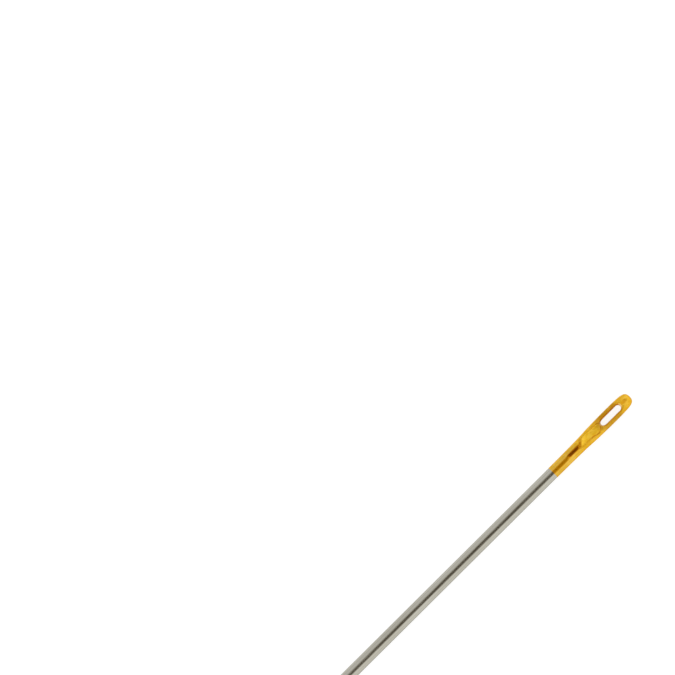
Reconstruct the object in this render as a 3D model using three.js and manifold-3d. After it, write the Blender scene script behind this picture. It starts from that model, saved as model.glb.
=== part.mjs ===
// Beading needle, size 10, 55 mm long. Millimetres.
// It lies along X with the eye at +X, the eye's axis along Z, and the shaft's underside on Z = 0.
// One steel wire holds the point, the shaft and the stamped eye. It is drawn as two solids that meet under
// the coats: the eye end, which bends round the eye, and the plain shaft with the point. Two coats lie over
// them: nickel over all but the very point, and gold over the nickel at the eye end.
import * as THREE from 'three';
import { mergeVertices } from 'three/addons/utils/BufferGeometryUtils.js';
import Module from 'manifold-3d';

const wasm = await Module();
wasm.setup();

// Driving dimensions. u runs from the tip of the eye end (0) to the sharp point (LENGTH).
const LENGTH = 55;
const R = 0.23;              // the shaft's radius over the nickel
const SIDES = 24;            // round the wire, with a flat at top, bottom, left and right
const NICKEL = 0.006;        // the coats are thicker than real plating, so that they hold as solids
const GOLD = 0.004;
const FIT = 0.002;           // gap between a coat and what it lies on
const GOLD_END = 3.978;      // the gold stops here
const WIRE_SPLIT = 3.7;      // the wire's two solids meet here, under both coats
const BARE_POINT = 0.1;      // the nickel stops this far from the point
const SLOT_START = 0.482;    // the eye's slot
const SLOT_LENGTH = 0.99;
const SLOT_HALF = 0.14;
const SLOT_NOSE = 0.17;      // how long its blunt head end is
const SLOT_TAIL = 0.175;     // and its round shaft end
const SLOT_RIM_FROM = 0.12;  // the slot widens at 45 degrees from this height over the middle plane up, as a rounded rim does
const GUTTER_FROM = 1.45;    // the long gutter in each face starts narrow at the end of the slot
const GUTTER_FLARE = 1.72;   // and one edge widens up to here
const GUTTER_TO = 2.75;
const GUTTER_LOW = 0.185;    // how far its two edges are from the middle
const GUTTER_HIGH = 0.155;
const GUTTER_NARROW = 0.055; // and how far the first one draws in
const GUTTER_FLOOR = 0.085;  // its height over the needle's middle plane at the slot
const GUTTER_RAMP = 1.66;    // the floor climbs from here on
const GUTTER_RISE = 0.09;    // its steepest climb
const GUTTER_CUT = 2.554;    // its slanted end wall meets the top of the needle here
const GUTTER_SLANT = 30;     // degrees, in plan
const GUTTER_WALL = 25;      // the end wall's slope, in degrees
const HEAD_AT = 0.262;       // the dimple in the head
const HEAD_LENGTH = 0.135;
const HEAD_HALF = 0.06;
const HEAD_FLOOR = 0.14;
const LEAN = 0.13;           // how far the section leans over just after the gutters, for each unit of height

// Half width (Y) and half thickness (Z) along the needle.
const SECTIONS = [
  // u, half width, half thickness
  [0.0, 0.0, 0.0],
  [0.006, 0.082, 0.058],
  [0.025, 0.140, 0.092],
  [0.06, 0.188, 0.120],
  [0.11, 0.222, 0.140],
  [0.17, 0.244, 0.1535],
  [0.25, 0.262, 0.166],
  [0.35, 0.273, 0.178],
  [0.5, 0.279, 0.1895],
  [0.75, 0.285, 0.196],
  [1.0, 0.286, 0.198],
  [1.3, 0.285, 0.200],
  [1.6, 0.281, 0.203],
  [1.85, 0.275, 0.206],
  [2.05, 0.267, 0.209],
  [2.25, 0.256, 0.212],
  [2.45, 0.2465, 0.215],
  [2.7, 0.240, 0.218],
  [3.0, 0.236, 0.2205],
  [3.4, 0.232, 0.2225],
  [4.0, 0.230, 0.2245],
  [5.0, 0.230, 0.2275],
  [6.5, 0.230, 0.230],
  [46.5, 0.230, 0.230],
  [48.0, 0.219, 0.219],
  [49.5, 0.195, 0.195],
  [51.0, 0.161, 0.161],
  [52.2, 0.127, 0.127],
  [53.2, 0.094, 0.094],
  [54.0, 0.064, 0.064],
  [54.5, 0.043, 0.043],
  [54.8, 0.029, 0.029],
  [54.9, 0.0240, 0.0240],
  [54.96, 0.0185, 0.0185],
  [54.99, 0.0105, 0.0105],
  [55.0, 0.0, 0.0],
];

// 0 up to a, 1 from b on.
const step = (x, a, b) => THREE.MathUtils.smoothstep(x, a, b);
const lean = (u) => LEAN * step(u, 2.42, 2.64) * (1 - step(u, 3.08, 3.3));

// A three.js geometry as a closed solid.
function solid(geometry) {
  const g = geometry.clone();
  g.deleteAttribute('normal');
  g.deleteAttribute('uv');
  const m = mergeVertices(g, 1e-5);
  const p = m.attributes.position.array, idx = m.index.array, tri = [];
  for (let i = 0; i < idx.length; i += 3) {
    const [a, b, c] = [idx[i], idx[i + 1], idx[i + 2]];
    if (a !== b && b !== c && a !== c) tri.push(a, b, c);
  }
  const make = (t) => new wasm.Manifold(new wasm.Mesh({ numProp: 3, vertProperties: new Float32Array(p), triVerts: new Uint32Array(t) }));
  let made = make(tri);
  if (made.volume() < 0) {
    for (let i = 0; i < tri.length; i += 3) [tri[i + 1], tri[i + 2]] = [tri[i + 2], tri[i + 1]];
    made = make(tri);
  }
  return made;
}

// The bare outline, grown by d along the outline's own normal: a lathe of one row per section, each row
// then stretched to its own half width and half thickness.
function wire(d) {
  const rows = SECTIONS.map(([u, y, z], i) => {
    if (i === 0) return [u - d, 0, 0];
    if (i === SECTIONS.length - 1) return [u + d, 0, 0];
    const [u0, y0] = SECTIONS[i - 1], [u1, y1] = SECTIONS[i + 1];
    const slope = (y1 - y0) / (u1 - u0);
    const n = 1 / Math.hypot(1, slope);
    return [u - d * slope * n, y + d * n, z + d * n];
  });
  const profile = rows.map(([, y], i) => new THREE.Vector2(i === 0 || i === rows.length - 1 ? 0 : 1, i));
  const g = new THREE.LatheGeometry(profile, SIDES, Math.PI / SIDES);
  const pos = g.attributes.position;
  const flats = 1 / Math.cos(Math.PI / SIDES);
  for (let i = 0; i < pos.count; i++) {
    const row = rows[Math.round(pos.getY(i))];
    const z = row[2] * flats * pos.getZ(i);
    pos.setXYZ(i, row[0], row[1] * flats * pos.getX(i) - lean(row[0]) * z, z);
  }
  return solid(g);
}

// The slot in plan: round at the shaft end, blunter at the head end.
function slotShape(d) {
  const h = SLOT_HALF - d, a = SLOT_START + d, b = SLOT_START + SLOT_LENGTH - d;
  const nose = SLOT_NOSE - d, tail = SLOT_TAIL - d;
  const blunt = (v) => Math.sign(v) * Math.abs(v) ** 0.8;
  const points = [];
  const n = 10;
  for (let i = 0; i <= n; i++) {
    const t = -Math.PI / 2 + (Math.PI * i) / n;
    points.push(new THREE.Vector2(b - tail + tail * Math.cos(t), h * Math.sin(t)));
  }
  for (let i = 0; i <= n; i++) {
    const t = Math.PI / 2 + (Math.PI * i) / n;
    const c = i === 0 || i === n ? 0 : Math.cos(t);
    points.push(new THREE.Vector2(a + nose + nose * blunt(c), h * blunt(Math.sin(t))));
  }
  return new THREE.Shape(points);
}

function slotCutter(d) {
  const through = new THREE.ExtrudeGeometry(slotShape(d), { depth: 0.8, bevelEnabled: false, curveSegments: 1 });
  through.translate(0, 0, -0.4);
  let cut = solid(through);
  // rims: the same outline again, wider towards each face
  for (const side of [1, -1]) {
    const rim = new THREE.ExtrudeGeometry(slotShape(d), { depth: 0.4, bevelEnabled: false, curveSegments: 1 });
    const pos = rim.attributes.position, mid = SLOT_START + SLOT_LENGTH / 2;
    const floor = SLOT_RIM_FROM + 0.4 * d;
    for (let i = 0; i < pos.count; i++) {
      const top = pos.getZ(i) > 0.2;
      const x = pos.getX(i), y = pos.getY(i);
      const grow = top ? 0.136 : -0.004;
      const ky = (SLOT_HALF - d + grow) / (SLOT_HALF - d);
      const kx = (SLOT_LENGTH / 2 - d + grow) / (SLOT_LENGTH / 2 - d);
      pos.setXYZ(i, mid + (x - mid) * kx, y * ky, side * (top ? floor + 0.14 : floor));
    }
    cut = cut.add(solid(rim));
  }
  return cut;
}

// The gutters in one face. The long one is a trough, drawn across and then run along the needle: its floor
// climbs towards the shaft, and a slanted, sloping wall ends it.
function gutterCutter(side, d) {
  const across = [[-1, 4], [-1, 1], [-0.93, 0.45], [-0.76, 0.14], [-0.5, 0.02], [0, 0], [0.5, 0.02], [0.76, 0.14], [0.93, 0.45], [1, 1], [1, 4]];
  const trough = new THREE.ExtrudeGeometry(new THREE.Shape(across.map(([x, y]) => new THREE.Vector2(x, y))), { depth: 1, steps: 20, bevelEnabled: false });
  const pos = trough.attributes.position;
  for (let i = 0; i < pos.count; i++) {
    const k = pos.getZ(i), u = GUTTER_FROM + (GUTTER_TO - GUTTER_FROM) * k ** 1.6;
    const low = (GUTTER_LOW - GUTTER_NARROW * step(u, 1.78, 2.02)) * (0.28 + 0.72 * step(u, GUTTER_FROM + 0.04, GUTTER_FLARE));
    const high = GUTTER_HIGH * (0.5 + 0.5 * step(u, GUTTER_FROM, 1.57));
    const half = (high + low) / 2 - d;
    const run = Math.max(0, u - GUTTER_RAMP);
    const floor = GUTTER_FLOOR + d + (GUTTER_RISE * run * run) / (run + 0.12);
    pos.setXYZ(i, u, (low - high) / 2 + pos.getX(i) * half, floor + 0.075 * pos.getY(i));
  }
  let cut = solid(trough);
  // the needle is kept beyond a plane that slants across it and slopes up from the floor
  const keep = new THREE.BoxGeometry(3, 3, 3);
  keep.translate(1.5, 0, 0);
  keep.rotateY(THREE.MathUtils.degToRad(90 - GUTTER_WALL));
  keep.rotateZ(-THREE.MathUtils.degToRad(GUTTER_SLANT));
  keep.translate(GUTTER_CUT - d, 0, 0.215 + d);
  cut = cut.subtract(solid(keep));
  const ball = new THREE.SphereGeometry(1, 16, 10);
  ball.rotateX(Math.PI / 2);
  ball.scale(HEAD_LENGTH - d, HEAD_HALF - d, 0.215 - HEAD_FLOOR - d);
  ball.translate(HEAD_AT, 0, 0.215);
  cut = cut.add(solid(ball));
  // the second face is the first one turned half a turn about the needle
  return side > 0 ? cut : cut.rotate([180, 0, 0]);
}

// The whole needle's surface, moved out by d.
function needle(d) {
  return wire(d).subtract(slotCutter(d)).subtract(gutterCutter(1, d)).subtract(gutterCutter(-1, d));
}

// The part of a solid between u0 and u1.
function between(s, u0, u1) {
  const box = new THREE.BoxGeometry(u1 - u0, 3, 3);
  box.translate((u0 + u1) / 2, 0, 0);
  return s.intersect(solid(box));
}

const surface = needle(0);
const core = needle(-NICKEL - FIT);
const eyeEnd = between(core, -1, WIRE_SPLIT - FIT / 2);
const shaft = between(core, WIRE_SPLIT + FIT / 2, LENGTH + 1);
const nickel = between(surface.subtract(needle(-NICKEL)), -1, LENGTH - BARE_POINT);
const gold = between(needle(GOLD + FIT).subtract(needle(FIT)), -1, GOLD_END);

function mesh(name, made, color, roughness) {
  const m = made.getMesh(), n = m.numProp;
  const v = new Float32Array(m.numVert * 3);
  for (let i = 0; i < m.numVert; i++) v.set(m.vertProperties.subarray(i * n, i * n + 3), i * 3);
  const g = new THREE.BufferGeometry();
  g.setAttribute('position', new THREE.BufferAttribute(v, 3));
  g.setIndex(new THREE.BufferAttribute(new Uint32Array(m.triVerts), 1));
  // u runs from the eye, so the eye end is turned to +X; half a turn about Z keeps both faces as they are
  g.rotateZ(Math.PI);
  g.translate(LENGTH / 2 - (GOLD + FIT) / 2, 0, R);
  g.computeVertexNormals();
  const out = new THREE.Mesh(g, new THREE.MeshStandardMaterial({ color, roughness, metalness: 1 }));
  out.name = name;
  return out;
}

const group = new THREE.Group();
group.add(mesh('eye_end_wire', eyeEnd, 0x6f6f72, 0.4));
group.add(mesh('shaft_wire', shaft, 0x6f6f72, 0.4));
group.add(mesh('nickel_plating', nickel, 0xcfc9ba, 0.18));
group.add(mesh('gold_plating', gold, 0xe0a63a, 0.22));

export default group;
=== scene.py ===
import math

import bpy
import numpy as np
from mathutils import Matrix


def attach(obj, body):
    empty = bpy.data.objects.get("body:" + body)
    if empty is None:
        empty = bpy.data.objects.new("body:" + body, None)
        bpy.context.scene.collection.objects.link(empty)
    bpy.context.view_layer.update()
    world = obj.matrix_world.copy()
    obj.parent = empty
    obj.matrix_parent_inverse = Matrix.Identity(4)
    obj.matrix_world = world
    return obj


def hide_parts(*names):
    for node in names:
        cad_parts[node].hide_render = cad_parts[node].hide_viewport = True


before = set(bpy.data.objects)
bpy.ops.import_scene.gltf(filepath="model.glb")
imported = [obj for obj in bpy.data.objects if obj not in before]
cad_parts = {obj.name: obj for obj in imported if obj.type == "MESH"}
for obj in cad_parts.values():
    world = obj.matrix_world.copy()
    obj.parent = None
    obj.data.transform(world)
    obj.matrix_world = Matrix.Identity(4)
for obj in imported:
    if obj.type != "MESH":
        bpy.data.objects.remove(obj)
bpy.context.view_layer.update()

# ---------------------------------------------------------------- the needle's sizes, in millimetres
# u runs from the tip of the eye end (0) to the point (LENGTH), y across, z up from the middle of the needle.
LENGTH = 55.0
R = 0.23
NICKEL = 0.006
GOLD = 0.004
FIT = 0.002
GOLD_END = 3.978
WIRE_SPLIT = 3.7
BARE_POINT = 0.1
SLOT_START, SLOT_LENGTH, SLOT_HALF, SLOT_NOSE, SLOT_TAIL = 0.482, 0.99, 0.14, 0.17, 0.175
SLOT_RIM = 0.06  # how widely the slot's rims are rounded
GUTTER_FROM, GUTTER_FLARE, GUTTER_CUT = 1.45, 1.72, 2.54  # one edge widens up to the second of these
GUTTER_LOW, GUTTER_HIGH, GUTTER_NARROW = 0.185, 0.155, 0.055  # its two edges, and how far the first one draws in
GUTTER_FLOOR, GUTTER_RAMP, GUTTER_RISE = 0.085, 1.66, 0.09  # flat at first, then climbing
GUTTER_RIM = 0.036
LEAN = 0.13  # how far the section leans over just after the gutters, for each unit of height
HEAD_AT, HEAD_LENGTH, HEAD_HALF, HEAD_FLOOR = 0.262, 0.135, 0.06, 0.14
NET_END = 2.86  # the eye end is one free-form surface up to here, and the shaft a ring loft after it

SECTIONS = np.array([
    # u, half width, half thickness
    [0.0, 0.0, 0.0], [0.006, 0.082, 0.058], [0.025, 0.140, 0.092], [0.06, 0.188, 0.120], [0.11, 0.222, 0.140],
    [0.17, 0.244, 0.1535], [0.25, 0.262, 0.166], [0.35, 0.273, 0.178], [0.5, 0.279, 0.1895], [0.75, 0.285, 0.196],
    [1.0, 0.286, 0.198], [1.3, 0.285, 0.200], [1.6, 0.281, 0.203], [1.85, 0.275, 0.206], [2.05, 0.267, 0.209],
    [2.25, 0.256, 0.212], [2.45, 0.2465, 0.215], [2.7, 0.240, 0.218], [3.0, 0.236, 0.2205], [3.4, 0.232, 0.2225],
    [4.0, 0.230, 0.2245], [5.0, 0.230, 0.2275], [6.5, 0.230, 0.230], [46.5, 0.230, 0.230], [48.0, 0.219, 0.219],
    [49.5, 0.195, 0.195], [51.0, 0.161, 0.161], [52.2, 0.127, 0.127], [53.2, 0.094, 0.094], [54.0, 0.064, 0.064],
    [54.5, 0.043, 0.043], [54.8, 0.029, 0.029], [54.9, 0.0240, 0.0240], [54.96, 0.0185, 0.0185],
    [54.99, 0.0105, 0.0105], [55.0, 0.0, 0.0],
])


class Curve:
    """A smooth curve through a few points, odd about 0, kept as a fine even table and read with cubic pieces."""

    def __init__(self, x, y, soft, step=0.005):
        h, d = np.diff(x), np.diff(y) / np.diff(x)
        m = np.zeros(len(x))
        w1, w2 = 2 * h[1:] + h[:-1], h[1:] + 2 * h[:-1]
        same = d[:-1] * d[1:] > 0
        m[1:-1][same] = ((w1 + w2)[same]) / (w1[same] / d[:-1][same] + w2[same] / d[1:][same])
        m[0] = ((2 * h[0] + h[1]) * d[0] - h[0] * d[1]) / (h[0] + h[1])
        self.step, self.end = step, x[-1]
        t = np.arange(0, x[-1] + step, step)
        i = np.clip(np.searchsorted(x, t, side="right") - 1, 0, len(x) - 2)
        v = self._piece((t - x[i]) / h[i], y[i], y[i + 1], m[i] * h[i], m[i + 1] * h[i])
        n = int(4 * soft / step)
        k = np.exp(-0.5 * (np.arange(-n, n + 1) * step / soft) ** 2)
        wide = np.concatenate([-v[n:0:-1], v, np.full(n, v[-1])])
        self.v = np.convolve(wide, k / k.sum(), "valid")
        self.m = np.gradient(self.v, step)

    @staticmethod
    def _piece(t, a, b, ma, mb):
        return (2 * t**3 - 3 * t**2 + 1) * a + (t**3 - 2 * t**2 + t) * ma + (3 * t**2 - 2 * t**3) * b + (t**3 - t**2) * mb

    def __call__(self, x):
        f = np.clip(np.asarray(x, float) / self.step, 0, len(self.v) - 1.000001)
        i = f.astype(int)
        return self._piece(f - i, self.v[i], self.v[i + 1], self.m[i] * self.step, self.m[i + 1] * self.step)


# both ends are round, so the sizes are smooth in the square root of the distance from the end
_eye = SECTIONS[:23]
_point = SECTIONS[:21:-1]
WIDTH_EYE = Curve(np.sqrt(_eye[:, 0]), _eye[:, 1], 0.035)
THICK_EYE = Curve(np.sqrt(_eye[:, 0]), _eye[:, 2], 0.035)
RADIUS_POINT = Curve(np.sqrt(LENGTH - _point[:, 0]), _point[:, 1], 0.03)


def step_down(x, a, b):
    """1 up to a, 0 from b on."""
    t = np.clip((b - x) / (b - a), 0, 1)
    return t * t * (3 - 2 * t)


def lean(u):
    return LEAN * (1 - step_down(u, 2.42, 2.64)) * step_down(u, 3.08, 3.3)


def halves(u):
    """Half width and half thickness."""
    u = np.asarray(u, float)
    s = np.sqrt(np.maximum(u, 0))
    p = RADIUS_POINT(np.sqrt(np.maximum(LENGTH - u, 0)))
    return np.where(u < 20, WIDTH_EYE(s) - 0.04 * lean(u), p), np.where(u < 20, THICK_EYE(s), p)


# ---------------------------------------------------------------- the eye end as one implicit solid
def smooth_max(a, b, k):
    h = np.maximum(k - np.abs(a - b), 0) / k
    return np.maximum(a, b) + h * h * k / 4


def body(u, y, z):
    tiny = 1e-6
    y = y - lean(u) * z
    s = np.sqrt(np.maximum(u, tiny))
    a, b = WIDTH_EYE(s) - 0.04 * lean(u), THICK_EYE(s)
    da = (WIDTH_EYE(s + 1e-4) - WIDTH_EYE(s - 1e-4)) / 2e-4
    area = a * a
    slope = a * da / s
    area = np.where(u > tiny, area, area + slope * (u - tiny))
    ratio = area / (b * b)
    ratio = np.where(u > tiny, ratio, (a / b) ** 2)
    h = y * y + ratio * z * z - area
    g = np.sqrt(slope**2 + 4 * y * y + 4 * (ratio * z) ** 2)
    return h / np.maximum(g, 0.1)


def slot(u, y, z):
    far = SLOT_START + SLOT_LENGTH - SLOT_TAIL
    near = SLOT_START + SLOT_NOSE
    straight = np.abs(y) - SLOT_HALF
    p, q = (u - far) / SLOT_TAIL, y / SLOT_HALF
    k = np.hypot(p, q)
    round_end = k * (k - 1) / np.maximum(np.hypot(p / SLOT_TAIL, q / SLOT_HALF), 1e-6)
    p, q = (u - near) / SLOT_NOSE, y / SLOT_HALF
    k = (np.abs(p) ** 2.5 + np.abs(q) ** 2.5) ** 0.4
    k1 = np.hypot((np.abs(p) / np.maximum(k, 1e-6)) ** 1.5 / SLOT_NOSE, (np.abs(q) / np.maximum(k, 1e-6)) ** 1.5 / SLOT_HALF)
    nose = (k - 1) / np.maximum(k1, 1.0)
    return np.where(u > far, round_end, np.where(u < near, nose, straight))


def gutter(u, y, z):
    """The gutters of the face at +z, negative where metal is gone, and the long one's end wall. y is the world's Y."""
    low = (GUTTER_LOW - GUTTER_NARROW * (1 - step_down(u, 1.78, 2.02))) * (1 - 0.72 * step_down(u, GUTTER_FROM + 0.04, GUTTER_FLARE))
    high = GUTTER_HIGH * (1 - 0.5 * step_down(u, GUTTER_FROM, 1.57))
    half = (high + low) / 2
    run = np.maximum(0, u - GUTTER_RAMP)
    floor = GUTTER_FLOOR + GUTTER_RISE * run * run / (run + 0.12)
    x = np.abs(y - (high - low) / 2) / half
    w = np.maximum(0, 1 - (z - floor) / 0.075)
    g = x**4.5 + w * w - 1
    slope = np.hypot(4.5 * x**3.5 / half, 2 * w / 0.075)
    trough = g / np.maximum(slope, 4.0)
    wall = 0.299 * (u - GUTTER_CUT + y) - 0.906 * body(u, y, z)
    trough = smooth_max(trough, wall, 0.016)
    trough = smooth_max(trough, GUTTER_FROM - u, 0.03)
    p, q, r = (u - HEAD_AT) / HEAD_LENGTH, y / HEAD_HALF, (z - 0.215) / (0.215 - HEAD_FLOOR)
    k0 = np.sqrt(p * p + q * q + r * r)
    k1 = np.sqrt((p / HEAD_LENGTH) ** 2 + (q / HEAD_HALF) ** 2 + (r / (0.215 - HEAD_FLOOR)) ** 2)
    head = k0 * (k0 - 1) / np.maximum(k1, 1e-6)
    return trough, head, wall


def slot_end(u, y):
    """1 at the two ends of the slot, 0 along its sides."""
    return step_down(np.abs(y), 0.03, 0.125) * (step_down(u, 0.5, 0.62) + 1 - step_down(u, 1.3, 1.42))


def eye_end(p):
    """Distance to the needle's surface over the nickel, for points (..., 3) of u, world y, z."""
    u, y, z = p[..., 0], p[..., 1], p[..., 2]
    f = body(u, y, z)
    for side in (1, -1):
        trough, head, _ = gutter(u, side * y, side * z)
        f = smooth_max(f, -trough, GUTTER_RIM + 0.04 * step_down(u, 1.5, 1.75))
        f = smooth_max(f, -head, 0.045)
    return smooth_max(f, -slot(u, y, z), SLOT_RIM + 0.03 * step_down(u, 0.5, 0.75))


MARKS = ("punched", "lit", "soft", "rail", "pressed", "rim", "dimple", "edge", "stripe", "streak")


def marks(p):
    """How much of each point is punched wall (the slot's sides, for painted shade), its paler ends (a painted
    highlight), the soft ground round them, rail beside the slot (painted shade), pressed floor (the gutters), rim
    (painted shade), the head's dimple (painted shade), the edge at the top of the long gutter's end wall and just
    after it (a painted shade line), and the deeper stripe and dark streak after it (a painted reflection of the dark
    gap overhead)."""
    u, y, z = p[:, 0], p[:, 1], p[:, 2]
    hole, skin_at = np.abs(slot(u, y, z)), np.abs(body(u, y, z))
    sides = 1 - slot_end(u, y)
    # punched: painted shade on the slot's side walls; lit: a painted highlight at its ends
    punched, lit = step_down(hole, 0.004, 0.03), step_down(hole, 0.015, 0.06)
    soft = step_down(hole, 0.06, 0.13) * (1 - sides)
    # rail: painted shade on the rails beside the slot
    rail = step_down(hole, 0.1, 0.26) * step_down(u, 1.45, 1.85) * (1 - step_down(u, 0.5, 0.68))
    # rim: painted shade along the slot's side rims
    rim = step_down(np.maximum(hole, skin_at), 0.025, 0.085) * sides
    pressed, dimple, edge, stripe, streak = [np.zeros(len(p)) for _ in range(5)]
    for side in (1, -1):
        trough, head, wall = gutter(u, side * y, side * z)
        face = step_down(-side * z, 0, 0.01)
        pressed = np.maximum(pressed, step_down(np.abs(trough), 0.003, 0.02))
        # painted shade along the upper edge of the gutters, added to the rim
        line = step_down(np.maximum(np.abs(trough), skin_at), 0.01, 0.04) * (1 - step_down(u, 1.5, 1.58)) * step_down(u, 1.95, 2.2) * step_down(side * y, -0.06, 0.0)
        rim = np.maximum(rim, line * face)
        blunt = step_down(np.maximum(np.abs(trough), skin_at), 0.02, 0.06) * (1 - step_down(u, 1.9, 2.1)) * step_down(u, 2.6, 2.7) * step_down(side * y, -0.08, -0.04)
        soft = np.maximum(soft, blunt * face)
        # dimple: painted shade in the head's dimple
        dimple = np.maximum(dimple, step_down(np.abs(head), 0.004, 0.035) * face)
        # edge: a painted shade line at the top of the long gutter's end wall and just after it
        at_edge = step_down(np.hypot(wall - 0.004, skin_at), 0.014, 0.034) * step_down(side * y, 0.15, 0.2) * step_down(-side * y, 0.08, 0.12)
        at_edge *= 0.6 + 0.4 * step_down(side * y, 0.0, 0.1)
        after = step_down(wall, 0.016, 0.036) * (1 - step_down(wall, -0.006, 0.004)) * step_down(np.abs(side * y - 0.02), 0.05, 0.1) * step_down(skin_at, 0.008, 0.018)
        edge = np.maximum(edge, np.maximum(at_edge, after) * face)
        # stripe: painted reflection of the dark gap overhead, along the middle of each face
        stripe = np.maximum(stripe, step_down(np.abs(side * y + 0.037 - 0.2 * lean(u)), 0.045, 0.09) * (1 - step_down(u, 2.5, 2.58)) * face)
        # streak: painted reflection, the darkest part of the reflected gap, just after the gutter
        streak = np.maximum(streak, step_down(np.abs(side * y + 0.015), 0.045, 0.08) * (1 - step_down(u, 2.57, 2.69)) * step_down(u, 3.09, 3.21) * face)
    return punched * sides, lit * (1 - sides), soft, rail, pressed * step_down(-skin_at, -0.012, -0.003), rim, dimple, edge, stripe, streak


def gradient(p, e=2e-4):
    g = np.empty_like(p)
    for i in range(3):
        d = np.zeros(3)
        d[i] = e
        g[..., i] = (eye_end(p + d) - eye_end(p - d)) / (2 * e)
    return g


def net(step):
    """The implicit surface as one smooth quad mesh, open at NET_END."""
    low = np.array([-0.03, -0.32, -0.24])
    count = np.ceil(np.array([NET_END - low[0], 0.64, 0.48]) / step).astype(int)
    axes = [low[i] + step * np.arange(count[i] + 1) + (0.37 * step if i else 0) for i in range(3)]
    grid = np.stack(np.meshgrid(*axes, indexing="ij"), -1)
    v = eye_end(grid)
    inside = v < 0
    total = sum(inside[i : i + count[0], j : j + count[1], k : k + count[2]].astype(np.int8) for i in (0, 1) for j in (0, 1) for k in (0, 1))
    cells = np.argwhere((total > 0) & (total < 8))
    number = np.full(tuple(count), -1)
    number[tuple(cells.T)] = np.arange(len(cells))
    at, hits = np.zeros((len(cells), 3)), np.zeros(len(cells))
    corners = [(i, j, k) for i in (0, 1) for j in (0, 1) for k in (0, 1)]
    for c in corners:
        for axis in range(3):
            if c[axis]:
                continue
            c2 = tuple(1 if i == axis else c[i] for i in range(3))
            a = v[tuple((cells + c).T)]
            b = v[tuple((cells + c2).T)]
            cross = (a < 0) != (b < 0)
            t = np.where(cross, a / np.where(cross, a - b, 1), 0)
            here = np.array(c) + t[:, None] * (np.array(c2) - np.array(c))
            at += np.where(cross[:, None], here, 0)
            hits += cross
    points = np.array([a[0] for a in axes]) + step * (cells + at / hits[:, None])
    quads = []
    ring = {
        0: [(0, -1, -1), (0, 0, -1), (0, 0, 0), (0, -1, 0)],
        1: [(-1, 0, -1), (-1, 0, 0), (0, 0, 0), (0, 0, -1)],
        2: [(-1, -1, 0), (0, -1, 0), (0, 0, 0), (-1, 0, 0)],
    }
    for axis in range(3):
        a = inside[tuple(slice(0, -1) if i == axis else slice(1, -1) for i in range(3))]
        b = inside[tuple(slice(1, None) if i == axis else slice(1, -1) for i in range(3))]
        where = np.argwhere(a != b) + np.array([0 if i == axis else 1 for i in range(3)])
        out = inside[tuple(where.T)]
        q = np.stack([number[tuple((where + o).T)] for o in ring[axis]], -1)
        quads.append(np.where(out[:, None], q, q[:, ::-1]))
    quads = np.concatenate(quads)
    assert quads.min() >= 0
    pairs = np.concatenate([np.sort(quads[:, [i, (i + 1) % 4]], 1) for i in range(4)])
    edges, uses = np.unique(pairs, axis=0, return_counts=True)
    border = np.unique(edges[uses == 1])
    fixed = np.zeros(len(points), bool)
    fixed[border] = True

    def settle(p):
        for _ in range(2):
            g = gradient(p)
            p = p - g * (eye_end(p) / np.maximum((g * g).sum(-1), 1e-3))[:, None]
        return p

    points = settle(points)
    share = np.bincount(edges.ravel(), minlength=len(points))
    for _ in range(5):
        mean = np.stack([
            np.bincount(edges[:, 0], points[edges[:, 1], i], len(points)) + np.bincount(edges[:, 1], points[edges[:, 0], i], len(points))
            for i in range(3)
        ], -1) / share[:, None]
        moved = points + 0.6 * (mean - points)
        moved[fixed] = points[fixed]
        points = settle(moved)
    g = gradient(points)
    normals = g / np.linalg.norm(g, axis=-1)[:, None]
    # the open border as a loop, by its angle round the needle
    angle = np.arctan2(points[border, 2], points[border, 1])
    return points, normals, quads, border[np.argsort(angle)]


# ---------------------------------------------------------------- rings round the shaft
def ring(u, sides, wave=0.0):
    """Points and outward normals of one ring. wave moves its points a little along the needle."""
    t = -math.pi + 2 * math.pi * np.arange(sides) / sides
    w = u + wave * (0.5 * np.sin(2 * t + 0.7) + 0.3 * np.sin(3 * t + 2.1) + 0.2 * np.sin(7 * t + 4.0) + 0.12 * np.sin(13 * t))
    a, b = halves(w)
    e = 1e-3
    (a1, b1), (a0, b0) = halves(np.minimum(w + e, LENGTH)), halves(w - e)
    da, db = (a1 - a0) / (2 * e), (b1 - b0) / (2 * e)
    c, s = np.cos(t), np.sin(t)
    k, dk = lean(w), (lean(w + e) - lean(w - e)) / (2 * e)
    p = np.stack([w, a * c + k * b * s, b * s], -1)
    g = np.stack([-(c * c * da / a + s * s * db / b) - dk * b * s * c / a, c / a, s / b - k * c / a], -1)
    return p, g / np.linalg.norm(g, axis=-1)[:, None]


def loft(rows, sides, first):
    """Quads between rings that are numbered from first on, facing out, u rising."""
    i = np.arange(sides)
    j = (i + 1) % sides
    out = []
    for r in range(rows - 1):
        a, b = first + r * sides, first + (r + 1) * sides
        out.append(np.stack([a + i, a + j, b + j, b + i], -1))
    return np.concatenate(out)


def stitch(points, loop, first, sides):
    """Triangles between the open border of the net and the first ring."""
    out = []
    a = np.arctan2(points[loop, 2], points[loop, 1])
    b = np.arctan2(points[first : first + sides, 2], points[first : first + sides, 1])
    b[0] = -math.pi
    n, m = len(loop), sides
    i = j = 0
    a = np.concatenate([a, [a[0] + 2 * math.pi]])
    b = np.concatenate([b, [b[0] + 2 * math.pi]])
    while i < n or j < m:
        if j >= m or (i < n and a[i + 1] <= b[j + 1]):
            out.append((loop[i % n], loop[(i + 1) % n], first + j % m))
            i += 1
        else:
            out.append((loop[i % n], first + (j + 1) % m, first + j % m))
            j += 1
    return np.array(out)


def spread(*stops):
    """Ring places: pairs of (u, step from there on), closed by the last u."""
    out = []
    for (a, step), (b, _) in zip(stops[:-1], stops[1:]):
        n = max(1, round((b - a) / step))
        out += list(a + (b - a) * np.arange(n) / n)
    return out + [stops[-1][0]]


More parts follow.
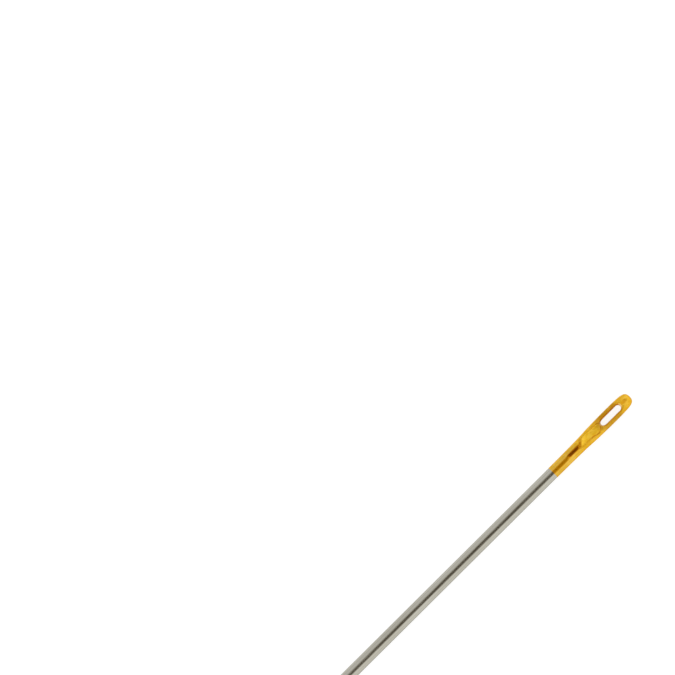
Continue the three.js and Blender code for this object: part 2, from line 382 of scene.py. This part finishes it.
def skin(mesh, places, sides, wave_at=None):
    """The net and its rings as one open surface: points, normals, faces (quads and triangles), last ring's numbers."""
    points, normals, quads, loop = mesh
    p, n = [points], [normals]
    for u in places:
        a, b = ring(u, sides, 0.009 if u == wave_at else 0.0)
        p.append(a)
        n.append(b)
    p, n = np.concatenate(p), np.concatenate(n)
    first = len(points)
    tri = stitch(p, loop, first, sides)
    more = loft(len(places), sides, first)
    last = first + (len(places) - 1) * sides + np.arange(sides)
    return p, n, [quads, tri, more], last


def to_world(p):
    """Metres: X towards the eye, Z up from the surface under the needle."""
    return np.stack([LENGTH / 2 - (GOLD + FIT) / 2 - p[:, 0], p[:, 1], p[:, 2] + R], -1) * 1e-3


def build(name, points, faces):
    """A mesh object from points in u, y and z, with faces that face out in the world."""
    mesh = bpy.data.meshes.new(name)
    mesh.from_pydata(to_world(points).tolist(), [], faces)
    mesh.validate()
    mesh.polygons.foreach_set("use_smooth", [True] * len(mesh.polygons))
    mesh.set_sharp_from_angle(angle=math.radians(60))
    o = bpy.data.objects.new(name, mesh)
    bpy.context.scene.collection.objects.link(o)
    return o


def faces_of(groups, turn=False, add=0):
    """Faces as lists. u runs against the world's X, so those that face out in u, y and z are turned."""
    out = []
    for g in groups:
        g = g + add
        out += (g[:, ::-1] if turn else g).tolist()
    return out


def mark(o, p, copies=1):
    """Writes the marks as point attributes, for the material."""
    for name, values in zip(MARKS, marks(p)):
        a = o.data.attributes.new(name, "FLOAT", "POINT")
        a.data.foreach_set("value", np.tile(values, copies).astype(np.float32))


def coat(name, surface, outer, inner):
    """A thin closed shell: the surface at two heights, joined round its open end."""
    p, n, groups, last = surface
    points = np.concatenate([p + outer * n, p + inner * n])
    faces = faces_of(groups, turn=True) + faces_of(groups, add=len(p))
    a, b = last, last + len(p)
    nxt = np.roll(np.arange(len(last)), -1)
    faces += np.stack([a, b, b[nxt], a[nxt]], -1).tolist()
    o = build(name, points, faces)
    mark(o, p, 2)
    return o


def solid(name, surface, height):
    """The same surface closed by a flat end."""
    p, n, groups, last = surface
    points = p + height * n
    centre = points[last].mean(0)
    points = np.concatenate([points, [centre]])
    nxt = np.roll(last, -1)
    cap = np.stack([last, nxt, np.full(len(last), len(p))], -1)
    return build(name, points, faces_of(groups + [cap], turn=True))


fine = net(0.0128)
plain = net(0.0168)
SIDES = 96

gold_rings = spread((NET_END + 0.02, 0.04), (3.4, 0.06), (GOLD_END - 0.03, 0.03), (GOLD_END, 0))
gold_coat = coat("gold_coat", skin(fine, gold_rings, 128, GOLD_END), GOLD + FIT, FIT)
nickel_rings = spread((NET_END + 0.02, 0.05), (4.2, 0.1), (6.0, 0.4), (46.0, 0.2), (53.5, 0.1), (54.6, 0.03), (LENGTH - BARE_POINT, 0))
nickel_coat = coat("nickel_coat", skin(plain, nickel_rings, SIDES), 0.0, -NICKEL)
eye_rings = spread((NET_END + 0.02, 0.06), (WIRE_SPLIT - FIT / 2, 0))
eye_end_steel = solid("eye_end_steel", skin(plain, eye_rings, SIDES), -NICKEL - FIT)


def shaft(name, height):
    rows = spread((WIRE_SPLIT + FIT / 2, 0.1), (6.0, 0.4), (46.0, 0.2), (53.5, 0.1), (54.6, 0.03), (54.92, 0.008), (54.985, 0))
    p, n = zip(*[ring(u, SIDES) for u in rows])
    points = np.concatenate(p) + height * np.concatenate(n)
    count = len(rows) * SIDES
    start = points[:SIDES].mean(0)
    tip = np.array([LENGTH + height, 0, 0])
    points = np.concatenate([points, [start, tip]])
    i = np.arange(SIDES)
    j = (i + 1) % SIDES
    cap = np.stack([j, i, np.full(SIDES, count)], -1)
    last = (len(rows) - 1) * SIDES
    end = np.stack([last + i, last + j, np.full(SIDES, count + 1)], -1)
    return build(name, points, faces_of([loft(len(rows), SIDES, 0), cap, end], turn=True))


shaft_steel = shaft("shaft_steel", -NICKEL - FIT)


# ---------------------------------------------------------------- materials
def material(name):
    m = bpy.data.materials.new(name)
    m.use_nodes = True
    nodes, links = m.node_tree.nodes, m.node_tree.links
    shader = nodes["Principled BSDF"]
    shader.inputs["Metallic"].default_value = 1.0
    coords = nodes.new("ShaderNodeTexCoord")
    return m, nodes, links, shader, coords


def noise(nodes, links, coords, scale, detail=3.0, rough=0.55):
    """Noise with its own size in each direction: scale is in features per millimetre."""
    place = nodes.new("ShaderNodeMapping")
    place.inputs["Scale"].default_value = [1000 * s for s in scale]
    links.new(coords.outputs["Object"], place.inputs["Vector"])
    n = nodes.new("ShaderNodeTexNoise")
    n.inputs["Scale"].default_value = 1.0
    n.inputs["Detail"].default_value = detail
    n.inputs["Roughness"].default_value = rough
    links.new(place.outputs["Vector"], n.inputs["Vector"])
    return n.outputs["Fac"]


def ranged(nodes, links, value, low, high, a=0.3, b=0.7):
    r = nodes.new("ShaderNodeMapRange")
    r.inputs["From Min"].default_value = a
    r.inputs["From Max"].default_value = b
    r.inputs["To Min"].default_value = low
    r.inputs["To Max"].default_value = high
    links.new(value, r.inputs["Value"])
    return r.outputs["Result"]


def tones(nodes, links, value, colors):
    ramp = nodes.new("ShaderNodeValToRGB")
    stops = ramp.color_ramp.elements
    while len(stops) < len(colors):
        stops.new(0.5)
    for e, (at, c) in zip(stops, colors):
        e.position = at
        e.color = (*c, 1)
    links.new(value, ramp.inputs["Fac"])
    return ramp.outputs["Color"]


def math_node(nodes, links, kind, a, b):
    n = nodes.new("ShaderNodeMath")
    n.operation = kind
    for i, v in enumerate((a, b)):
        if isinstance(v, (int, float)):
            n.inputs[i].default_value = v
        else:
            links.new(v, n.inputs[i])
    return n.outputs[0]


def bumps(nodes, links, shader, layers):
    """Bump layers, each (height, depth in millimetres)."""
    last = None
    for height, depth in layers:
        b = nodes.new("ShaderNodeBump")
        b.inputs["Strength"].default_value = 1.0
        b.inputs["Distance"].default_value = depth * 1e-3
        links.new(height, b.inputs["Height"])
        if last is not None:
            links.new(last, b.inputs["Normal"])
        last = b.outputs["Normal"]
    links.new(last, shader.inputs["Normal"])


def attribute(nodes, name):
    n = nodes.new("ShaderNodeAttribute")
    n.attribute_type = "GEOMETRY"
    n.attribute_name = name
    return n.outputs["Fac"]


def mixed_colour(nodes, links, factor, a, b):
    n = nodes.new("ShaderNodeMix")
    n.data_type = "RGBA"
    links.new(factor, n.inputs["Factor"])
    links.new(a, n.inputs["A"])
    links.new(b, n.inputs["B"])
    return n.outputs["Result"]


def place(nodes, links, coords, axis, a, b, low, high):
    """A value that runs smoothly from low to high as a coordinate, in millimetres, runs from a to b."""
    parts = nodes.new("ShaderNodeSeparateXYZ")
    links.new(coords.outputs["Object"], parts.inputs["Vector"])
    value = parts.outputs[axis]
    if axis == "Y":
        value = math_node(nodes, links, "ABSOLUTE", value, 0.0)
    r = nodes.new("ShaderNodeMapRange")
    r.interpolation_type = "SMOOTHSTEP"
    r.inputs["From Min"].default_value = a * 1e-3
    r.inputs["From Max"].default_value = b * 1e-3
    r.inputs["To Min"].default_value = low
    r.inputs["To Max"].default_value = high
    links.new(value, r.inputs["Value"])
    return r.outputs["Result"]


def gold_material():
    m, nodes, links, shader, coords = material("gold plate")
    patches = noise(nodes, links, coords, (1.6, 2.6, 2.6), 3)
    clouds = noise(nodes, links, coords, (5, 7, 7), 3)
    streaks = noise(nodes, links, coords, (2.2, 46, 46), 4, 0.6)
    grain = noise(nodes, links, coords, (60, 60, 60), 3, 0.6)
    dents = noise(nodes, links, coords, (14, 20, 20), 4, 0.6)
    punched, lit, soft, rail, pressed, rim, dimple, edge, stripe, streak = [attribute(nodes, name) for name in MARKS]
    cut = math_node(nodes, links, "MAXIMUM", punched, pressed)
    even = math_node(nodes, links, "SUBTRACT", 1.0, math_node(nodes, links, "MAXIMUM", cut, rim))

    def times(a, b):
        return math_node(nodes, links, "MULTIPLY", a, b)

    def plus(*values):
        total = values[0]
        for v in values[1:]:
            total = math_node(nodes, links, "ADD", total, v)
        return total

    x = LENGTH / 2 - 0.003
    mixed = plus(times(patches, 0.4), times(clouds, 0.45), times(streaks, 0.15))
    colour = tones(nodes, links, mixed, [(0.37, (0.67, 0.35, 0.012)), (0.5, (0.75, 0.42, 0.026)), (0.63, (0.84, 0.51, 0.055))])
    # paler towards its end, a painted highlight that makes up for the gloss the duller finish there loses
    pale_end_highlight = tones(nodes, links, mixed, [(0.37, (0.68, 0.40, 0.04)), (0.63, (0.80, 0.51, 0.085))])
    colour = mixed_colour(nodes, links, place(nodes, links, coords, "X", x - 3.2, x - 2.5, 0.8, 0.0), colour, pale_end_highlight)
    # painted reflection: a deeper orange along the middle of each face of the shaft, where the dark gap overhead is
    # reflected, most of all just after the gutter
    crest_reflection = tones(nodes, links, mixed, [(0.36, (0.68, 0.27, 0.002)), (0.64, (0.76, 0.33, 0.005))])
    colour = mixed_colour(nodes, links, stripe, colour, crest_reflection)
    # painted reflection: the dark red streak just after the gutter
    streak_reflection = tones(nodes, links, mixed, [(0.36, (0.68, 0.18, 0.002)), (0.64, (0.78, 0.23, 0.004))])
    colour = mixed_colour(nodes, links, streak, colour, streak_reflection)
    # paler on the pressed floors; a painted highlight at the slot's ends; browner on the rails, the rims and the
    # punched walls, which is painted shade
    pale = tones(nodes, links, clouds, [(0.38, (0.77, 0.44, 0.018)), (0.6, (0.88, 0.56, 0.05))])
    colour = mixed_colour(nodes, links, times(pressed, 0.85), colour, pale)
    # painted shade on the rails beside the slot
    rail_shade = tones(nodes, links, clouds, [(0.35, (0.48, 0.235, 0.01)), (0.65, (0.60, 0.325, 0.03))])
    colour = mixed_colour(nodes, links, times(rail, 0.9), colour, rail_shade)
    # painted shade on the rims
    dark = tones(nodes, links, clouds, [(0.35, (0.50, 0.21, 0.004)), (0.65, (0.60, 0.28, 0.01))])
    colour = mixed_colour(nodes, links, times(rim, 0.7), colour, dark)
    # painted shade in the head's dimple
    colour = mixed_colour(nodes, links, times(dimple, 0.75), colour, tones(nodes, links, clouds, [(0.35, (0.60, 0.27, 0.005)), (0.65, (0.72, 0.34, 0.01))]))
    # a painted shade line at the top of the long gutter's end wall and just after it
    painted_shade_line = tones(nodes, links, clouds, [(0.35, (0.38, 0.14, 0.003)), (0.65, (0.50, 0.205, 0.005))])
    colour = mixed_colour(nodes, links, times(edge, 0.9), colour, painted_shade_line)
    # a painted highlight at the slot's ends
    light = tones(nodes, links, clouds, [(0.38, (0.90, 0.70, 0.34)), (0.6, (0.95, 0.80, 0.48))])
    colour = mixed_colour(nodes, links, times(lit, 0.8), colour, light)
    # painted shade on the slot's side walls
    slot_wall_shade = tones(nodes, links, dents, [(0.35, (0.54, 0.19, 0.006)), (0.62, (0.66, 0.28, 0.012))])
    links.new(mixed_colour(nodes, links, times(punched, 0.85), colour, slot_wall_shade), shader.inputs["Base Color"])
    # the last stretch of the plate, next to the bare nickel, is duller, and so are the pressed and punched faces
    # and their rims, which no polishing reaches
    rough = plus(
        ranged(nodes, links, streaks, 0.10, 0.15),
        ranged(nodes, links, grain, -0.01, 0.02),
        place(nodes, links, coords, "X", x - 3.24, x - 3.12, 0.12, 0.0),
        place(nodes, links, coords, "X", x - 2.69, x - 2.57, 0.0, 0.12),
        times(pressed, 0.12),
        times(streak, 0.03),
        times(punched, 0.24),
        times(soft, 0.2),
        times(lit, 0.25),
        times(dimple, 0.2),
        times(rail, 0.1),
        times(rim, 0.12),
    )
    links.new(rough, shader.inputs["Roughness"])
    shader.inputs["Specular Tint"].default_value = (0.75, 0.55, 0.3, 1)
    bumps(nodes, links, shader, [
        (times(streaks, even), 0.0002),
        (grain, 0.00006),
        (times(dents, cut), 0.002),
        (patches, 0.0008),
    ])
    return m


def nickel_material():
    m, nodes, links, shader, coords = material("nickel plate")
    patches = noise(nodes, links, coords, (0.5, 2.2, 2.2), 3)
    streaks = noise(nodes, links, coords, (1.2, 42, 42), 4, 0.6)
    grain = noise(nodes, links, coords, (55, 55, 55), 3, 0.6)
    mixed = math_node(nodes, links, "ADD", math_node(nodes, links, "MULTIPLY", patches, 0.6), math_node(nodes, links, "MULTIPLY", streaks, 0.4))
    colour = tones(nodes, links, mixed, [(0.34, (0.44, 0.423, 0.352)), (0.5, (0.48, 0.463, 0.392)), (0.66, (0.515, 0.50, 0.432))])
    links.new(colour, shader.inputs["Base Color"])
    rough = math_node(nodes, links, "ADD", ranged(nodes, links, streaks, 0.10, 0.18), ranged(nodes, links, grain, -0.02, 0.03))
    links.new(rough, shader.inputs["Roughness"])
    shader.inputs["Specular Tint"].default_value = (0.5, 0.5, 0.5, 1)
    bumps(nodes, links, shader, [(streaks, 0.0002), (grain, 0.00006), (patches, 0.0008)])
    return m


def steel_material():
    m, nodes, links, shader, coords = material("hardened steel")
    scale_marks = noise(nodes, links, coords, (6, 12, 12), 4)
    drawn = noise(nodes, links, coords, (1.5, 70, 70), 4, 0.65)
    colour = tones(nodes, links, scale_marks, [(0.32, (0.26, 0.255, 0.25)), (0.52, (0.37, 0.365, 0.36)), (0.7, (0.44, 0.435, 0.425))])
    links.new(colour, shader.inputs["Base Color"])
    links.new(ranged(nodes, links, drawn, 0.24, 0.42), shader.inputs["Roughness"])
    bumps(nodes, links, shader, [(drawn, 0.0009), (scale_marks, 0.0006)])
    return m


gold, nickel, steel = gold_material(), nickel_material(), steel_material()
for piece, plate, node, slot_name in (
    (gold_coat, gold, "gold_plating", "gold"),
    (nickel_coat, nickel, "nickel_plating", "nickel"),
    (eye_end_steel, steel, "eye_end_wire", "steel"),
    (shaft_steel, steel, "shaft_wire", "steel"),
):
    piece.data.materials.append(plate)
    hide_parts(node)
    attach(piece, "root")


# ---------------------------------------------------------------- floor, light, camera
def pale_floor():
    half, n = 1.2, 24
    xs = np.linspace(-half, half, n + 1)
    gx, gy = np.meshgrid(xs, xs, indexing="ij")
    verts = np.stack([gx.ravel(), gy.ravel(), np.full(gx.size, -1e-6)], -1)
    at = np.arange((n + 1) ** 2).reshape(n + 1, n + 1)
    quads = np.stack([at[:-1, :-1], at[1:, :-1], at[1:, 1:], at[:-1, 1:]], -1).reshape(-1, 4)
    mesh = bpy.data.meshes.new("floor")
    mesh.from_pydata(verts.tolist(), [], quads.tolist())
    o = bpy.data.objects.new("floor", mesh)
    bpy.context.scene.collection.objects.link(o)
    m = bpy.data.materials.new("pale floor")
    m.use_nodes = True
    nodes, links = m.node_tree.nodes, m.node_tree.links
    shader = nodes["Principled BSDF"]
    coords = nodes.new("ShaderNodeTexCoord")
    fibre = noise(nodes, links, coords, (0.4, 0.4, 0.4), 3)
    links.new(tones(nodes, links, fibre, [(0.3, (0.24, 0.24, 0.24)), (0.7, (0.27, 0.27, 0.268))]), shader.inputs["Base Color"])
    shader.inputs["Roughness"].default_value = 1.0
    shader.inputs["Specular IOR Level"].default_value = 0.0
    shader.inputs["Emission Color"].default_value = (1.0, 1.0, 1.0, 1)
    shader.inputs["Emission Strength"].default_value = FLOOR_GLOW
    mesh.materials.append(m)
    return o


FLOOR_GLOW = 0.82
TILT = math.radians(11)
AWAY = (0.0, -math.sin(TILT), math.cos(TILT))
ACROSS = (0.0, math.cos(TILT), math.sin(TILT))
pale_floor()


def sky():
    """A soft dome: bright from about 45 degrees round the zenith, greyer low down, with the dark gap overhead
    that a camera leaves in a light tent, and stronger light from the two ends of the needle."""
    world = bpy.data.worlds.new("light tent")
    bpy.context.scene.world = world
    world.use_nodes = True
    nodes, links = world.node_tree.nodes, world.node_tree.links
    shade = nodes["Background"]
    coords = nodes.new("ShaderNodeTexCoord")

    def dot(v):
        n = nodes.new("ShaderNodeVectorMath")
        n.operation = "DOT_PRODUCT"
        links.new(coords.outputs["Generated"], n.inputs[0])
        n.inputs[1].default_value = v
        return n.outputs["Value"]

    across, away, along = dot(ACROSS), dot(AWAY), dot((1, 0, 0))
    turn = math_node(nodes, links, "ARCTAN2", across, away)
    fac = math_node(nodes, links, "ADD", math_node(nodes, links, "DIVIDE", turn, 2 * math.pi), 0.5)
    dome = tones(nodes, links, fac, [((d + 180) / 360, (v, v * w, v * w2)) for d, v, w, w2 in SKY])
    gap = nodes.new("ShaderNodeMapRange")
    gap.interpolation_type = "SMOOTHSTEP"
    gap.inputs["From Min"].default_value = math.sin(math.radians(GAP_X[0]))
    gap.inputs["From Max"].default_value = math.sin(math.radians(GAP_X[1]))
    links.new(math_node(nodes, links, "ABSOLUTE", along, 0.0), gap.inputs["Value"])
    open_dome = tones(nodes, links, fac, [((d + 180) / 360, (v, v * w, v * w2)) for d, v, w, w2 in SIDES_SKY])
    mix = nodes.new("ShaderNodeMix")
    mix.data_type = "RGBA"
    links.new(gap.outputs["Result"], mix.inputs["Factor"])
    links.new(dome, mix.inputs["A"])
    links.new(open_dome, mix.inputs["B"])
    ends = nodes.new("ShaderNodeMapRange")
    ends.interpolation_type = "SMOOTHSTEP"
    ends.inputs["From Min"].default_value = math.sin(math.radians(20))
    ends.inputs["From Max"].default_value = math.sin(math.radians(50))
    ends.inputs["To Min"].default_value = 1.0
    ends.inputs["To Max"].default_value = ENDS
    links.new(math_node(nodes, links, "ABSOLUTE", along, 0.0), ends.inputs["Value"])
    # white along the horizon, as the floor is
    low = nodes.new("ShaderNodeMapRange")
    low.interpolation_type = "SMOOTHSTEP"
    low.inputs["From Min"].default_value = math.sin(math.radians(1))
    low.inputs["From Max"].default_value = math.sin(math.radians(5))
    links.new(dot((0, 0, 1)), low.inputs["Value"])
    white = nodes.new("ShaderNodeMix")
    white.data_type = "RGBA"
    white.inputs["A"].default_value = (1.0, 1.0, 1.0, 1)
    links.new(low.outputs["Result"], white.inputs["Factor"])
    links.new(mix.outputs["Result"], white.inputs["B"])
    links.new(white.outputs["Result"], shade.inputs["Color"])
    links.new(ends.outputs["Result"], shade.inputs["Strength"])


# degrees from the camera's direction across the needle, brightness, and its green and blue share
SKY = [
    (-110, 0.80, 1, 1), (-80, 0.86, 1, 1), (-62, 1.04, 1, 1), (-46, 1.14, 1, 1), (-35, 1.0, 1, 1), (-26, 0.56, 0.97, 0.92),
    (-18, 0.18, 0.87, 0.66), (-9, 0.085, 0.80, 0.5), (9, 0.085, 0.80, 0.5), (18, 0.18, 0.87, 0.66), (27, 0.48, 0.97, 0.92), (38, 0.76, 1, 1),
    (54, 0.88, 1, 1.02), (75, 0.85, 1, 1.04), (95, 0.77, 1, 1.04), (115, 0.75, 1, 1.02),
]
SIDES_SKY = [(-110, 0.9, 1, 1), (-60, 1.12, 1, 1), (0, 1.1, 1, 1), (60, 1.02, 1, 1.04), (115, 0.86, 1, 1.04)]
GAP_X = (3.5, 8)
ENDS = 1.1
sky()

SCALE = 27.1  # pixels per millimetre at the needle, in a frame 675 pixels wide
TIP_AT = (629.55, 396.6)  # where the tip of the eye end stands in that frame
TURN = math.radians(44.83)
LENS = 300.0


def camera():
    e1, e2, back = np.array([1.0, 0, 0]), np.array(ACROSS), np.array(AWAY)
    right = math.cos(TURN) * e1 - math.sin(TURN) * e2
    up = math.sin(TURN) * e1 + math.cos(TURN) * e2
    tip = np.array([LENGTH / 2, 0, R])
    aim = tip - right * (TIP_AT[0] - 337.5) / SCALE + up * (TIP_AT[1] - 337.5) / SCALE
    data = bpy.data.cameras.new("camera")
    data.lens, data.sensor_width = LENS, 36.0
    data.clip_start, data.clip_end = 0.01, 20.0
    at = (aim + back * (675 / SCALE) * LENS / 36) * 1e-3
    o = bpy.data.objects.new("camera", data)
    bpy.context.scene.collection.objects.link(o)
    o.matrix_world = Matrix([[right[i], up[i], back[i], at[i]] for i in range(3)] + [[0, 0, 0, 1]])
    bpy.context.scene.camera = o


camera()
bpy.context.scene.view_settings.view_transform = "Standard"
bpy.context.scene.view_settings.look = "None"
